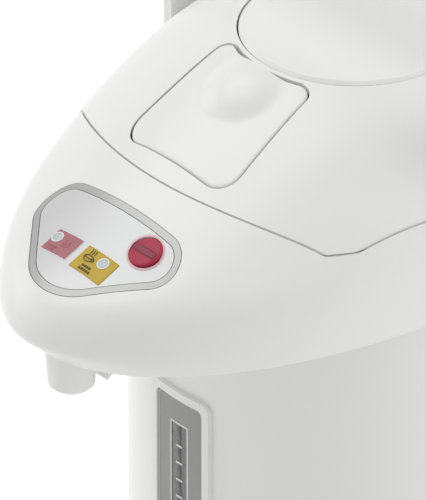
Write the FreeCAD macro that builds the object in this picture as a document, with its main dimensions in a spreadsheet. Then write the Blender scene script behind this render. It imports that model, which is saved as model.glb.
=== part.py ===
import FreeCAD, Part
import math
import os

import Sketcher
from FreeCAD import Placement, Rotation, Vector

# Electric thermo pot: a round insulated body on a swivel base, an egg-shaped head with a
# beak over the cup, a hinged lid with an air pump, and a folding carrying handle.
# Millimetres. +Z is up, -Y is the front, the origin is the centre of the foot's flat face.

SIZES = {
    # Driving sizes of the whole pot
    "top_height": 345.0,
    "body_radius": 100.0,
    "body_wall": 2.5,
    "seat_gap": 0.3,
    "running_gap": 0.05,
    # Swivel base
    "foot_height": 3.0,
    "foot_radius": 88.0,
    "foot_width": 12.0,
    "plate_thickness": 6.0,
    "race_radius": 66.0,
    "race_width": 6.0,
    "race_height": 1.2,
    "spigot_radius": 9.0,
    "spigot_bore": 2.5,
    "washer_radius": 16.0,
    "washer_thickness": 1.6,
    "screw_radius": 2.4,
    "screw_length": 14.0,
    "screw_head_radius": 5.0,
    "screw_head_height": 2.6,
    # Base housing
    "floor_thickness": 3.0,
    "base_seam_height": 58.0,
    "base_chamfer": 4.0,
    "lip_height": 8.0,
    "lip_thickness": 2.4,
    "boss_width": 4.0,
    "boss_height": 2.8,
    "inlet_width": 28.0,
    "inlet_height": 20.0,
    "inlet_depth": 16.0,
    "inlet_level": 36.0,
    "inlet_wall": 3.0,
    "inlet_pin_radius": 1.5,
    "inlet_pin_pitch": 9.0,
    "inlet_pin_length": 8.0,
    "power_board_width": 60.0,
    "power_board_depth": 34.0,
    "power_board_offset": 56.0,
    "board_thickness": 1.6,
    "standoff_radius": 3.0,
    "standoff_height": 6.0,
    # Vessel and heater
    "vessel_radius": 74.0,
    "vessel_wall": 1.0,
    "vessel_floor": 66.0,
    "flange_height": 246.0,
    "flange_width": 10.0,
    "sleeve_gap": 0.4,
    "sleeve_thickness": 3.4,
    "sleeve_margin": 8.0,
    "heater_radius": 56.0,
    "heater_thickness": 4.0,
    "thermostat_radius": 8.0,
    "thermostat_height": 7.0,
    "thermostat_circle": 34.0,
    "shoulder_thickness": 3.7,
    "shoulder_lip": 10.0,
    "seal_width": 6.0,
    "seal_thickness": 4.0,
    # Pump and water path
    "pump_offset": 45.0,
    "pump_level": 33.0,
    "pump_radius": 20.0,
    "pump_wall": 2.6,
    "pump_height": 18.0,
    "motor_radius": 14.0,
    "impeller_radius": 14.0,
    "impeller_height": 7.0,
    "impeller_blades": 6.0,
    "blade_thickness": 1.6,
    "hub_radius": 5.0,
    "shaft_radius": 2.0,
    "hose_radius": 5.0,
    "hose_bore": 3.4,
    "level_tube_offset": 88.5,
    "level_tube_foot": 64.0,
    "level_tube_top": 230.0,
    "outlet_level": 268.5,
    "hose_bend": 14.0,
    # Water gauge
    "gauge_width": 38.0,
    "gauge_foot": 60.0,
    "gauge_top": 197.0,
    "gauge_corner": 5.0,
    "gauge_proud": 2.4,
    "gauge_rim": 3.8,
    "scale_proud": 1.3,
    "lens_proud": 1.0,
    "window_width": 10.0,
    "window_drop": 17.0,
    # Nozzle and cup lever
    "nozzle_reach": 162.6,
    "nozzle_foot": 224.7,
    "nozzle_radius": 10.4,
    "nozzle_root_radius": 12.0,
    "nozzle_bore": 5.0,
    "nozzle_chamfer": 2.0,
    "cup_lever_width": 18.0,
    "cup_lever_reach": 149.8,
    "cup_lever_foot": 226.0,
    "cup_lever_thickness": 3.0,
    "cup_lever_axis": 256.0,
    "cup_lever_boss": 4.0,
    "small_pin_radius": 1.5,
    # Head
    "head_wall": 3.0,
    "belt_half_width": 107.5,
    "belt_reach": 189.0,
    "rim_drop": 92.4,
    "rim_bend": 38.0,
    "rim_slope": 0.04,
    "cover_thickness": 2.6,
    "cover_recess": 1.4,
    "liner_plate_height": 286.4,
    "liner_thickness": 2.4,
    "liner_radius": 80.4,
    "liner_foot": 250.6,
    "mouth_radius": 67.0,
    # Control panel
    "panel_rear": 129.0,
    "panel_half_width": 62.4,
    "panel_front": 188.8,
    "panel_corner": 13.0,
    "panel_nose": 28.0,
    "bezel_width": 3.2,
    "panel_slope": 26.6,
    "panel_drop": 74.0,
    "board_depth": 10.0,
    "board_width": 60.0,
    "board_length": 30.0,
    "board_reach": 148.0,
    "button_x": 24.7,
    "button_reach": 141.0,
    "button_radius": 7.7,
    "button_proud": 0.9,
    "button_travel": 1.2,
    "button_height": 5.0,
    "lamp_radius": 2.6,
    "lamp_reach": 155.4,
    "keep_lamp_x": 13.3,
    "boil_lamp_x": 17.3,
    # Lid
    "lid_radius": 104.0,
    "lid_reach": 114.5,
    "lid_corner_x": 86.0,
    "lid_corner_reach": 84.0,
    "lid_corner_round": 16.0,
    "lid_rear": 112.0,
    "lid_part_height": 298.6,
    "lid_gap": 0.8,
    "skirt_inset": 3.6,
    "skirt_relief": 2.4,
    "skirt_thickness": 2.2,
    "skirt_foot": 291.0,
    "dish_floor": 258.0,
    "dish_radius": 75.0,
    "dish_taper": 5.0,
    "dish_wall": 2.4,
    "vent_offset": 59.0,
    "gasket_radius": 70.0,
    "gasket_width": 2.6,
    # Air pump
    "disc_radius": 51.0,
    "disc_gap": 0.8,
    "disc_thickness": 3.0,
    "disc_skirt": 23.0,
    "disc_edge": 1.5,
    "well_thickness": 1.8,
    "well_foot": 300.0,
    "bellows_radius": 42.0,
    "bellows_wall": 1.2,
    "bellows_fold": 4.0,
    "bellows_folds": 8.0,
    "spring_radius": 14.0,
    "spring_wire": 2.0,
    # Release lever and latch
    "lever_half_width": 34.0,
    "lever_rear_half_width": 29.0,
    "lever_front": 105.0,
    "lever_rear": 50.0,
    "lever_corner": 10.0,
    "lever_gap": 0.9,
    "lever_axis_reach": 92.0,
    "lever_axis_height": 314.0,
    "dome_radius": 17.0,
    "dome_rise": 5.0,
    "dome_reach": 66.0,
    "finger_reach": 62.0,
    "finger_foot": 298.4,
    "latch_width": 20.0,
    "latch_foot": 292.0,
    "latch_height": 4.0,
    "latch_nose": 112.9,
    "latch_tail": 57.5,
    "latch_ramp": 2.85,
    "catch_width": 26.0,
    "catch_reach": 121.0,
    # Hinge
    "hinge_offset": 107.0,
    "hinge_height": 300.0,
    "hinge_block_foot": 280.0,
    "hinge_pin_radius": 2.0,
    "knuckle_radius": 4.6,
    "knuckle_half_width": 30.0,
    "ear_thickness": 4.0,
    # Handle
    "pivot_height": 274.0,
    "pivot_radius": 6.0,
    "handle_inside": 108.8,
    "handle_thickness": 5.0,
    "handle_width": 26.0,
    "handle_arm": 140.0,
    "grip_thickness": 12.0,
    "handle_round": 34.0,
    "pivot_cap_radius": 11.0,
    "pivot_cap_thickness": 2.0,
}

doc = FreeCAD.newDocument("ThermoPot")
sheet = doc.addObject("Spreadsheet::Sheet", "Sizes")
for row, (alias, number) in enumerate(SIZES.items(), start=1):
    sheet.set(f"A{row}", alias)
    sheet.set(f"B{row}", str(number))
    sheet.setAlias(f"B{row}", alias)
doc.recompute()


class Size:
    # A number together with the sheet expression that gives it
    def __init__(self, value, text):
        self.value = float(value)
        self.text = text

    def joined(self, sign, other, value):
        return Size(value, f"({self.text} {sign} {as_size(other).text})")

    def __add__(self, other):
        return self.joined("+", other, self.value + as_size(other).value)

    def __sub__(self, other):
        return self.joined("-", other, self.value - as_size(other).value)

    def __mul__(self, factor):
        return self.joined("*", factor, self.value * as_size(factor).value)

    def __truediv__(self, factor):
        return self.joined("/", factor, self.value / as_size(factor).value)

    def __neg__(self):
        return Size(-self.value, f"(0 - {self.text})")

    def __radd__(self, other):
        return as_size(other) + self

    def __rsub__(self, other):
        return as_size(other) - self


def as_size(number):
    return number if isinstance(number, Size) else Size(number, repr(float(number)))


def size(alias):
    return Size(sheet.get(alias), f"Sizes.{alias}")


def bind(item, **values):
    # Binds properties of a document object to sheet expressions
    for name, number in values.items():
        path = name.replace("__", ".")
        item.setExpression(path, as_size(number).text)
    return item


def at(item, x=0, y=0, z=0, turn=None):
    # Puts a piece at bound coordinates, turned about an axis where it needs it
    if turn:
        item.Placement = Placement(Vector(), Rotation(Vector(*turn[0]), turn[1]))
    return bind(item, Placement__Base__x=x, Placement__Base__y=y, Placement__Base__z=z)


ALONG_X = ((0, 1, 0), 90)
ALONG_Y = ((1, 0, 0), -90)
nodes = {}


def keep(name, item):
    item.Label = name
    nodes[name] = item
    return item


def box(width, depth, height, x, y, z):
    # A block centred on x, with its near corner at y and z
    item = doc.addObject("Part::Box", "Block")
    bind(item, Length=width, Width=depth, Height=height)
    return at(item, as_size(x) - as_size(width) / 2, y, z)


def rod(radius, length, x=0, y=0, z=0, turn=None):
    item = doc.addObject("Part::Cylinder", "Rod")
    bind(item, Radius=radius, Height=length)
    return at(item, x, y, z, turn)


def fuse(*pieces):
    item = doc.addObject("Part::MultiFuse", "Joined")
    item.Shapes = list(pieces)
    return item


def cut(base, *tools):
    item = doc.addObject("Part::Cut", "Cut")
    item.Base = base
    item.Tool = tools[0] if len(tools) == 1 else fuse(*tools)
    return item


def common(base, tool):
    item = doc.addObject("Part::Common", "Shared")
    item.Base = base
    item.Tool = tool
    return item


def solid(shape):
    # A piece whose shape is worked out below from the sheet's values
    item = doc.addObject("Part::Feature", "Form")
    item.Shape = shape
    return item


def turned(profile, x=0, y=0, z=0, turn=None):
    # A body of revolution about its own upright axis, from radius and height pairs
    body = doc.addObject("PartDesign::Body", "Turned")
    sketch = body.newObject("Sketcher::SketchObject", "Profile")
    plane = [item for item in body.Origin.OriginFeatures if item.Role == "XZ_Plane"][0]
    sketch.AttachmentSupport = [(plane, "")]
    sketch.MapMode = "FlatFace"
    corners = [(as_size(radius), as_size(height)) for radius, height in profile]
    points = [Vector(radius.value, height.value, 0) for radius, height in corners]
    count = len(points)
    for index in range(count):
        sketch.addGeometry(Part.LineSegment(points[index], points[(index + 1) % count]), False)
    for index in range(count):
        sketch.addConstraint(Sketcher.Constraint("Coincident", index, 2, (index + 1) % count, 1))
    for index, (radius, height) in enumerate(corners):
        for kind, length, axis in (("DistanceX", radius, -2), ("DistanceY", height, -1)):
            if length.value == 0:
                sketch.addConstraint(Sketcher.Constraint("PointOnObject", index, 1, axis))
                continue
            place = sketch.addConstraint(Sketcher.Constraint(kind, -1, 1, index, 1, length.value))
            sketch.setExpression(f"Constraints[{place}]", length.text)
    spin = body.newObject("PartDesign::Revolution", "Spin")
    spin.Profile = sketch
    spin.ReferenceAxis = (sketch, ["V_Axis"])
    spin.Angle = 360.0
    body.Tip = spin
    return at(body, x, y, z, turn)


def tube(outer, inner, foot, top, x=0, y=0):
    return turned([(inner, foot), (outer, foot), (outer, top), (inner, top)], x, y)


def hose(points, bends, radius, bore):
    # A pipe of straight runs and round bends, hollow along its whole length
    edges = []
    start = points[0]
    for index in range(1, len(points) - 1):
        corner = points[index]
        back = (points[index - 1] - corner).normalize()
        ahead = (points[index + 1] - corner).normalize()
        half = (math.pi - back.getAngle(ahead)) / 2
        trim = bends * math.tan(half)
        enter, leave = corner + back * trim, corner + ahead * trim
        centre = corner + (back + ahead).normalize() * (bends / math.cos(half))
        middle = centre + (corner - centre).normalize() * bends
        edges += [Part.makeLine(start, enter), Part.Arc(enter, middle, leave).toShape()]
        start = leave
    edges.append(Part.makeLine(start, points[-1]))
    path = Part.Wire(edges)
    heading = points[1] - points[0]

    def sweep(size_across):
        ring = Part.Wire([Part.makeCircle(size_across, points[0], heading)])
        return path.makePipeShell([ring], True, False)

    return sweep(radius).cut(sweep(bore))


# Swivel base: a plate that stays on the table, and a spigot for the pot to turn on

top_height = size("top_height")
seat_gap = size("seat_gap")
running_gap = size("running_gap")
foot_height = size("foot_height")
foot_radius = size("foot_radius")
plate_top = foot_height + size("plate_thickness")
race_top = plate_top + size("race_height")
race_radius = size("race_radius")
spigot_radius = size("spigot_radius")
base_foot = race_top + seat_gap
floor_top = base_foot + size("floor_thickness")
boss_top = floor_top + size("boss_height")
spigot_top = boss_top + seat_gap
washer_top = spigot_top + size("washer_thickness")
spigot_bore = size("spigot_bore")

keep("foot_ring", tube(foot_radius, foot_radius - size("foot_width"), 0, foot_height))
keep("turntable_plate", turned([
    (spigot_bore, foot_height), (foot_radius, foot_height), (foot_radius, plate_top),
    (race_radius, plate_top), (race_radius, race_top),
    (race_radius - size("race_width"), race_top), (race_radius - size("race_width"), plate_top),
    (spigot_radius, plate_top), (spigot_radius, spigot_top), (spigot_bore, spigot_top)]))
keep("swivel_washer", tube(size("washer_radius"), spigot_bore, spigot_top, washer_top))
screw_radius = size("screw_radius")
screw_head_top = washer_top + size("screw_head_height")
screw_tip = washer_top - size("screw_length")
keep("swivel_screw", turned([
    (0, screw_tip), (screw_radius, screw_tip), (screw_radius, washer_top),
    (size("screw_head_radius"), washer_top), (size("screw_head_radius"), screw_head_top),
    (0, screw_head_top)]))

# Base housing and outer body

body_radius = size("body_radius")
body_inside = body_radius - size("body_wall")
base_seam = size("base_seam_height")
chamfer = size("base_chamfer")
lip_outer = body_inside - seat_gap
lip_inner = lip_outer - size("lip_thickness")
lip_top = base_seam + size("lip_height")
bore = spigot_radius + running_gap
boss_radius = bore + size("boss_width")
rim_height = top_height - size("rim_drop")
housing = turned([
    (bore, base_foot), (body_radius - chamfer, base_foot), (body_radius, base_foot + chamfer),
    (body_radius, base_seam), (lip_outer, base_seam), (lip_outer, lip_top), (lip_inner, lip_top),
    (lip_inner, floor_top), (boss_radius, floor_top), (boss_radius, boss_top), (bore, boss_top)])

inlet_width, inlet_height = size("inlet_width"), size("inlet_height")
inlet_level, inlet_wall = size("inlet_level"), size("inlet_wall")
inlet_front = body_radius - size("inlet_depth")
inlet_foot = inlet_level - inlet_height / 2
socket = box(inlet_width, size("inlet_depth"), inlet_height, 0, inlet_front, inlet_foot)
recess = box(inlet_width - inlet_wall * 2, size("inlet_depth"), inlet_height - inlet_wall * 2,
             0, inlet_front + inlet_wall, inlet_foot + inlet_wall)
pin_length = size("inlet_pin_length")
pin_radius = size("inlet_pin_radius")
pin_pitch = size("inlet_pin_pitch")


def inlet_pin(side):
    return rod(pin_radius, pin_length, pin_pitch * side / 2, inlet_front + inlet_wall, inlet_level,
               ALONG_Y)


keep("inlet_socket", cut(socket, recess))
keep("inlet_pins", fuse(inlet_pin(-1), inlet_pin(1)))
socket_hole = box(inlet_width + seat_gap * 2, size("inlet_depth") * 2, inlet_height + seat_gap * 2,
                  0, inlet_front - seat_gap, inlet_foot - seat_gap)

board_width, board_depth = size("power_board_width"), size("power_board_depth")
board_offset = size("power_board_offset")
standoff_radius = size("standoff_radius")
board_foot = floor_top + size("standoff_height")


def standoff(side, end):
    return rod(standoff_radius, board_foot - floor_top, (board_width / 2 - standoff_radius) * side,
               board_offset + (board_depth / 2 - standoff_radius) * end, floor_top)


standoffs = [standoff(side, end) for side in (-1, 1) for end in (-1, 1)]
keep("base_housing", cut(fuse(housing, *standoffs), socket_hole))
keep("power_board", box(board_width, board_depth, size("board_thickness"),
                        0, board_offset - board_depth / 2, board_foot))

gauge_top = size("gauge_top")
window_top = gauge_top - size("window_drop")
window_foot = size("gauge_foot") + size("window_drop")
window_width = size("window_width")
body_tube = tube(body_radius, body_inside, base_seam, rim_height)
body_slot = box(window_width - seat_gap * 2, body_radius, window_top - window_foot - seat_gap * 2,
                0, -body_radius * 1.5, window_foot + seat_gap)
keep("outer_body", cut(body_tube, body_slot))

# Vessel, its insulation, heater and thermostats

vessel_radius, vessel_wall = size("vessel_radius"), size("vessel_wall")
vessel_floor = size("vessel_floor")
flange_top = size("flange_height")
flange_radius = vessel_radius + size("flange_width")
vessel_foot = vessel_floor - vessel_wall
vessel_inside = vessel_radius - vessel_wall
outlet_hole = rod(size("hose_radius") + seat_gap, vessel_wall * 4, 0, -size("pump_offset"),
                  vessel_foot - vessel_wall)
vessel = turned([
    (0, vessel_foot), (vessel_radius, vessel_foot), (vessel_radius, flange_top - vessel_wall),
    (flange_radius, flange_top - vessel_wall), (flange_radius, flange_top),
    (vessel_inside, flange_top), (vessel_inside, vessel_floor), (0, vessel_floor)])
keep("inner_vessel", cut(vessel, outlet_hole))
sleeve_inner = vessel_radius + size("sleeve_gap")
keep("insulation_sleeve", tube(sleeve_inner + size("sleeve_thickness"), sleeve_inner,
                               vessel_foot, flange_top - size("sleeve_margin")))
heater_top = vessel_foot - seat_gap
heater_foot = heater_top - size("heater_thickness")
heater_disc = tube(size("heater_radius"), size("hub_radius"), heater_foot, heater_top)
heater_notch = rod(size("hose_radius") * 2, size("heater_thickness") * 3, 0, -size("pump_offset"),
                   heater_foot - size("heater_thickness"))
keep("heater_plate", cut(heater_disc, heater_notch))
thermostat_top = heater_foot
thermostat_foot = thermostat_top - size("thermostat_height")


def thermostat(side):
    return rod(size("thermostat_radius"), size("thermostat_height"),
               size("thermostat_circle") * side, 0, thermostat_foot)


keep("thermostats", fuse(thermostat(-1), thermostat(1)))
shoulder_top = flange_top - vessel_wall
shoulder_foot = shoulder_top - size("shoulder_thickness")
shoulder = turned([
    (sleeve_inner, shoulder_foot), (lip_inner, shoulder_foot),
    (lip_inner, shoulder_foot - size("shoulder_lip")),
    (body_inside, shoulder_foot - size("shoulder_lip")), (body_inside, shoulder_top),
    (sleeve_inner, shoulder_top)])
tube_offset = size("level_tube_offset")
hose_radius, hose_bore = size("hose_radius"), size("hose_bore")
tube_hole = rod(hose_radius + seat_gap, size("shoulder_thickness") * 3, 0, -tube_offset,
                shoulder_foot - size("shoulder_thickness"))
keep("shoulder_ring", cut(shoulder, tube_hole))
liner_foot = size("liner_foot")
keep("mouth_seal", tube(vessel_radius + size("seal_width"), vessel_radius, flange_top, liner_foot))

# Circulation pump under the vessel, and the water path up to the nozzle

pump_offset, pump_radius = size("pump_offset"), size("pump_radius")
pump_wall, pump_level = size("pump_wall"), size("pump_level")
pump_height = size("pump_height")
pump_top = pump_level + pump_height
shaft_radius = size("shaft_radius")
shaft_bore = shaft_radius + running_gap
pump_shell = turned([
    (shaft_bore, pump_level), (pump_radius, pump_level), (pump_radius, pump_top),
    (hose_bore, pump_top), (hose_bore, pump_top - pump_wall),
    (pump_radius - pump_wall, pump_top - pump_wall), (pump_radius - pump_wall, pump_level + pump_wall),
    (shaft_bore, pump_level + pump_wall)], 0, -pump_offset)
pump_middle = pump_level + pump_height / 2
pump_port = rod(hose_bore, pump_radius, 0, -pump_offset - pump_radius * 1.5, pump_middle, ALONG_Y)
keep("pump_housing", cut(pump_shell, pump_port))
keep("pump_motor", tube(size("motor_radius"), shaft_bore, floor_top, pump_level, 0, -pump_offset))
impeller_height = size("impeller_height")
impeller_foot = pump_middle - impeller_height / 2
shaft_foot = floor_top + size("board_thickness")
hub = rod(size("hub_radius"), impeller_height, 0, 0, impeller_foot)
shaft = rod(shaft_radius, impeller_foot - shaft_foot, 0, 0, shaft_foot)
blade_thickness = size("blade_thickness")
blades = []
for index in range(int(size("impeller_blades").value)):
    blade = doc.addObject("Part::Box", "Blade")
    bind(blade, Length=size("impeller_radius"), Width=blade_thickness, Height=impeller_height)
    blade.Placement = Placement(Vector(), Rotation(Vector(0, 0, 1),
                                                   index * 360 / size("impeller_blades").value))
    blades.append(at(blade, 0, 0, impeller_foot))
keep("impeller", at(fuse(hub, shaft, *blades), 0, -pump_offset, 0))
keep("suction_pipe", turned([
    (hose_bore, pump_top), (hose_radius + vessel_wall * 2, pump_top),
    (hose_radius, pump_top + vessel_wall * 2), (hose_radius, vessel_floor),
    (hose_bore, vessel_floor)], 0, -pump_offset))

bend = size("hose_bend").value
tube_foot, tube_top = size("level_tube_foot"), size("level_tube_top")
outlet_level = size("outlet_level")
nozzle_reach, nozzle_foot = size("nozzle_reach"), size("nozzle_foot")


def centre_point(reach, level):
    return Vector(0, -as_size(reach).value, as_size(level).value)


keep("riser_hose", solid(hose(
    [centre_point(pump_offset + pump_radius, pump_middle), centre_point(tube_offset, pump_middle),
     centre_point(tube_offset, tube_foot)], bend, hose_radius.value, hose_bore.value)))
keep("level_tube", tube(hose_radius, hose_bore, tube_foot, tube_top, 0, -tube_offset))

# Head: one closed form drawn through level curves, hollowed to a shell

belt_half_width, belt_reach = size("belt_half_width").value, size("belt_reach").value
crown_radius = (size("disc_radius") - size("disc_edge") * 2).value
height = top_height.value
head_wall = size("head_wall").value

# Each level curve: half width, reach to the front, fullness of its front, drop at the side
# and drop at the front. Widths and reaches are set back from the belt, the widest level.
BOTTOM_DROP = size("rim_drop").value + 9.6
HEAD_LEVELS = (
    (crown_radius, crown_radius, 2.0, 0.0, 0.0),
    (belt_half_width - 41.0, belt_reach - 120.5, 2.0, 4.6, 8.2),
    (belt_half_width - 26.5, belt_reach - 104.5, 2.08, 13.0, 17.0),
    (belt_half_width - 8.7, belt_reach - 69.0, 2.05, 32.5, 37.0),
    (belt_half_width - 2.0, belt_reach - 27.0, 1.95, 51.0, 58.0),
    (belt_half_width + 0.3, belt_reach - 7.0, 1.83, 65.5, 69.0),
    (belt_half_width, belt_reach, 1.78, 77.0, 83.0),
    (belt_half_width - 3.2, belt_reach - 4.0, 1.86, 86.5, 91.0),
    (body_radius.value, belt_reach - 12.0, 1.97, size("rim_drop").value, 98.5),
    (body_radius.value - 3.0, belt_reach - 16.0, 2.0, BOTTOM_DROP, BOTTOM_DROP),
)
CURVE_POINTS = 24
CURVE_START = 3


def level_points(half_width, reach, fullness, drop_side, drop_front):
    points = []
    for index in range(CURVE_POINTS):
        angle = 2 * math.pi * (index + CURVE_START) / CURVE_POINTS
        across, along = math.cos(angle), math.sin(angle)
        if along < 0:
            x = half_width * math.copysign(abs(across) ** (2 / fullness), across)
            y = -reach * abs(along) ** (2 / fullness)
            drop = drop_side + (drop_front - drop_side) * abs(y) / reach
        else:
            x, y, drop = half_width * across, half_width * along, drop_side
        points.append(Vector(x, y, height - drop))
    return points


def head_form(inset):
    # The closed head form, moved inwards by the inset square to its own surface
    levels = [level_points(*level) for level in HEAD_LEVELS]
    wires = []
    last = len(levels) - 1
    for row, points in enumerate(levels):
        moved = []
        above, below = levels[max(row - 1, 0)], levels[min(row + 1, last)]
        for index, point in enumerate(points):
            around = points[(index + 1) % CURVE_POINTS] - points[index - 1]
            down = below[index] - above[index]
            inward = around.cross(down).normalize()
            if row in (0, last):
                inward = Vector(inward.x, inward.y, 0).normalize() if row else Vector(0, 0, -1)
            moved.append(point + inward * inset)
        curve = Part.BSplineCurve()
        curve.interpolate(moved, PeriodicFlag=True)
        wires.append(Part.Wire([curve.toShape()]))
    return Part.makeLoft(wires, True, False, False, 3)


head_outer = head_form(0.0)
head_inner = head_form(head_wall)
head_room = head_form(head_wall + seat_gap.value)
FAR = 2 * height


def upright(outline, foot, top):
    # An upright prism over a closed plan outline
    face = Part.Face(outline)
    face.translate(Vector(0, 0, foot))
    return face.extrude(Vector(0, 0, top - foot))


def block(x_low, x_high, y_low, y_high, z_low, z_high):
    return Part.makeBox(x_high - x_low, y_high - y_low, z_high - z_low, Vector(x_low, y_low, z_low))


def grown(outline, distance):
    if distance == 0:
        return outline
    return Part.Face(outline).makeOffset2D(distance).OuterWire


def rounded(points, radii):
    # A closed plan outline with a fillet at each corner
    face = Part.Face(Part.makePolygon(points + [points[0]]))
    block_solid = face.extrude(Vector(0, 0, 1))
    for point, radius in zip(points, radii):
        edges = [edge for edge in block_solid.Edges
                 if all(abs(v.X - point.x) < 0.01 and abs(v.Y - point.y) < 0.01 for v in edge.Vertexes)]
        block_solid = block_solid.makeFillet(radius, edges)
    return [f for f in block_solid.Faces if f.CenterOfMass.z < 0.01][0].OuterWire


def surface_height(x, y):
    # The height of the head's outer surface above a plan point
    hit = Part.makeLine(Vector(x, y, rim_height.value + 20), Vector(x, y, height + 20)).common(head_outer)
    return max(vertex.Z for vertex in hit.Vertexes)


def lid_outline(rear_reach):
    radius = size("lid_radius").value
    corner_x, corner_y = size("lid_corner_x").value, -size("lid_corner_reach").value
    front, rear = Vector(0, -size("lid_reach").value, 0), Vector(0, rear_reach, 0)
    right, left = Vector(corner_x, corner_y, 0), Vector(-corner_x, corner_y, 0)
    side_angle = math.radians(-20)
    side_right = Vector(radius * math.cos(side_angle), radius * math.sin(side_angle), 0)
    side_left = Vector(-side_right.x, side_right.y, 0)
    edges = [
        Part.Arc(side_right, rear, side_left).toShape(),
        Part.makeLine(side_left, left),
        Part.Arc(left, front, right).toShape(),
        Part.makeLine(right, side_right),
    ]
    corner_round = size("lid_corner_round").value
    return grown(grown(Part.Wire(Part.__sortEdges__(edges)), -corner_round), corner_round)


def wall_between(outline, inner_outline, foot, top):
    return upright(outline, foot, top).cut(upright(inner_outline, foot - 1, top + 1))


skin = head_outer.cut(head_inner)
gap = seat_gap.value
lid_plan = lid_outline(size("lid_radius").value)
lid_edge = lid_outline(size("lid_rear").value)
lid_part = size("lid_part_height").value
lid_zone = upright(lid_edge, lid_part, FAR)
lid_gap = size("lid_gap").value
rim = rim_height.value
rim_bend, rim_slope = size("rim_bend").value, size("rim_slope").value
reach_far = belt_reach + body_radius.value


def rim_level(reach):
    return rim - max(reach - rim_bend, 0) * rim_slope


def sloped_slab(low, high, reach_from, reach_to):
    # A slab that follows the sloping rim, between two heights above it
    points = [Vector(-FAR, -reach, rim_level(reach) + offset)
              for offset, reaches in ((low, (reach_from, reach_to)), (high, (reach_to, reach_from)))
              for reach in reaches]
    return Part.Face(Part.makePolygon(points + [points[0]])).extrude(Vector(2 * FAR, 0, 0))


below_rim = sloped_slab(-rim, 0, rim_bend, reach_far).fuse(block(-FAR, FAR, -rim_bend, FAR, 0, rim))

# Control panel: a rim, an overlay with its button hole and lamps, and the board below

panel_corner = size("panel_corner").value
panel_plan = rounded(
    [Vector(-size("panel_half_width").value, -size("panel_rear").value, 0),
     Vector(size("panel_half_width").value, -size("panel_rear").value, 0),
     Vector(0, -size("panel_front").value, 0)],
    [panel_corner, panel_corner, size("panel_nose").value])
bezel_width = size("bezel_width").value
panel_slope = size("panel_slope").value
panel_room = 2 * size("board_depth").value
panel_low = height - size("panel_drop").value
button_x, button_y = size("button_x").value, -size("button_reach").value
button_radius = size("button_radius").value
panel_turn = Rotation(Vector(1, 0, 0), panel_slope)
panel_up = panel_turn.multVec(Vector(0, 0, 1))


def on_panel(x, reach, depth):
    # A point below the panel's surface, measured square to it
    return Vector(x, -reach, surface_height(x, -reach)) - panel_up * depth


def square_rod(centre, radius, low, high):
    return Part.makeCylinder(radius, high - low, centre + panel_up * low, panel_up)


button_centre = on_panel(button_x, -button_y, 0)
button_top, button_height = size("button_proud").value, size("button_height").value
button_hole = square_rod(button_centre, button_radius + gap, -panel_room, panel_room)
lamp_radius, lamp_reach = size("lamp_radius").value, size("lamp_reach").value
lamp_points = [on_panel(size("keep_lamp_x").value, lamp_reach, 0),
               on_panel(-size("boil_lamp_x").value, lamp_reach, 0)]
bezel_zone = wall_between(grown(panel_plan, -gap), grown(panel_plan, -bezel_width), panel_low, FAR)
overlay_zone = upright(grown(panel_plan, -bezel_width - gap), panel_low, FAR)
overlay = skin.common(overlay_zone).cut(button_hole)
lamps = []
for point in lamp_points:
    overlay = overlay.cut(square_rod(point, lamp_radius, -panel_room, panel_room))
    lamps.append(skin.common(square_rod(point, lamp_radius - gap / 3, -panel_room, panel_room)))

board_depth_below = size("board_depth").value
board_wide, board_long = size("board_width").value, size("board_length").value
board_thick = size("board_thickness").value
board_centre = on_panel(0, size("board_reach").value, board_depth_below)


def on_board(x, y, low, wide, long, tall):
    # A block on the tilted board, by its centre and its height above the board
    piece = Part.makeBox(wide, long, tall, Vector(x - wide / 2, y - long / 2, low))
    piece.Placement = Placement(board_centre, panel_turn)
    return piece


post_radius = size("standoff_radius").value
post_x, post_y = board_wide / 2 - post_radius * 2, board_long / 2 - post_radius
posts = []
for post_at, post_along in ((post_x / 3, post_y), (post_x / 6, -post_y)):
    for side in (-1, 1):
        post = Part.makeCylinder(post_radius, panel_room, Vector(post_at * side, post_along, board_thick))
        post.Placement = Placement(board_centre, panel_turn)
        posts.append(post.common(head_room))

keep("control_bezel", solid(skin.common(bezel_zone)))
keep("control_overlay", solid(overlay))
keep("board_posts", solid(Part.makeCompound(posts)))
keep("lamp_lenses", solid(Part.makeCompound(lamps)))
keep("control_board", solid(on_board(0, 0, 0, board_wide, board_long, board_thick)))


def board_place(point):
    local = Placement(board_centre, panel_turn).inverse().multVec(point)
    return local.x, local.y, local.z


def under(point, radius, low, high):
    x, y, _ = board_place(point)
    piece = Part.makeCylinder(radius, high - low, Vector(x, y, low))
    piece.Placement = Placement(board_centre, panel_turn)
    return piece


keep("leds", solid(Part.makeCompound(
    [under(point, lamp_radius / 2, board_thick, board_thick + pin_radius.value * 2)
     for point in lamp_points])))
switch_x, switch_y, switch_room = board_place(button_centre)
button_foot = button_top - button_height
travel = size("button_travel").value
switch_top = switch_room + button_foot - travel - gap
keep("tact_switch", solid(on_board(switch_x, switch_y, board_thick, button_radius, button_radius,
                                   switch_top - board_thick)))
keep("dispense_button", solid(square_rod(button_centre, button_radius, button_foot, button_top)))

# Head shell, the cover under the beak, and the liner that leads down to the vessel

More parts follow.
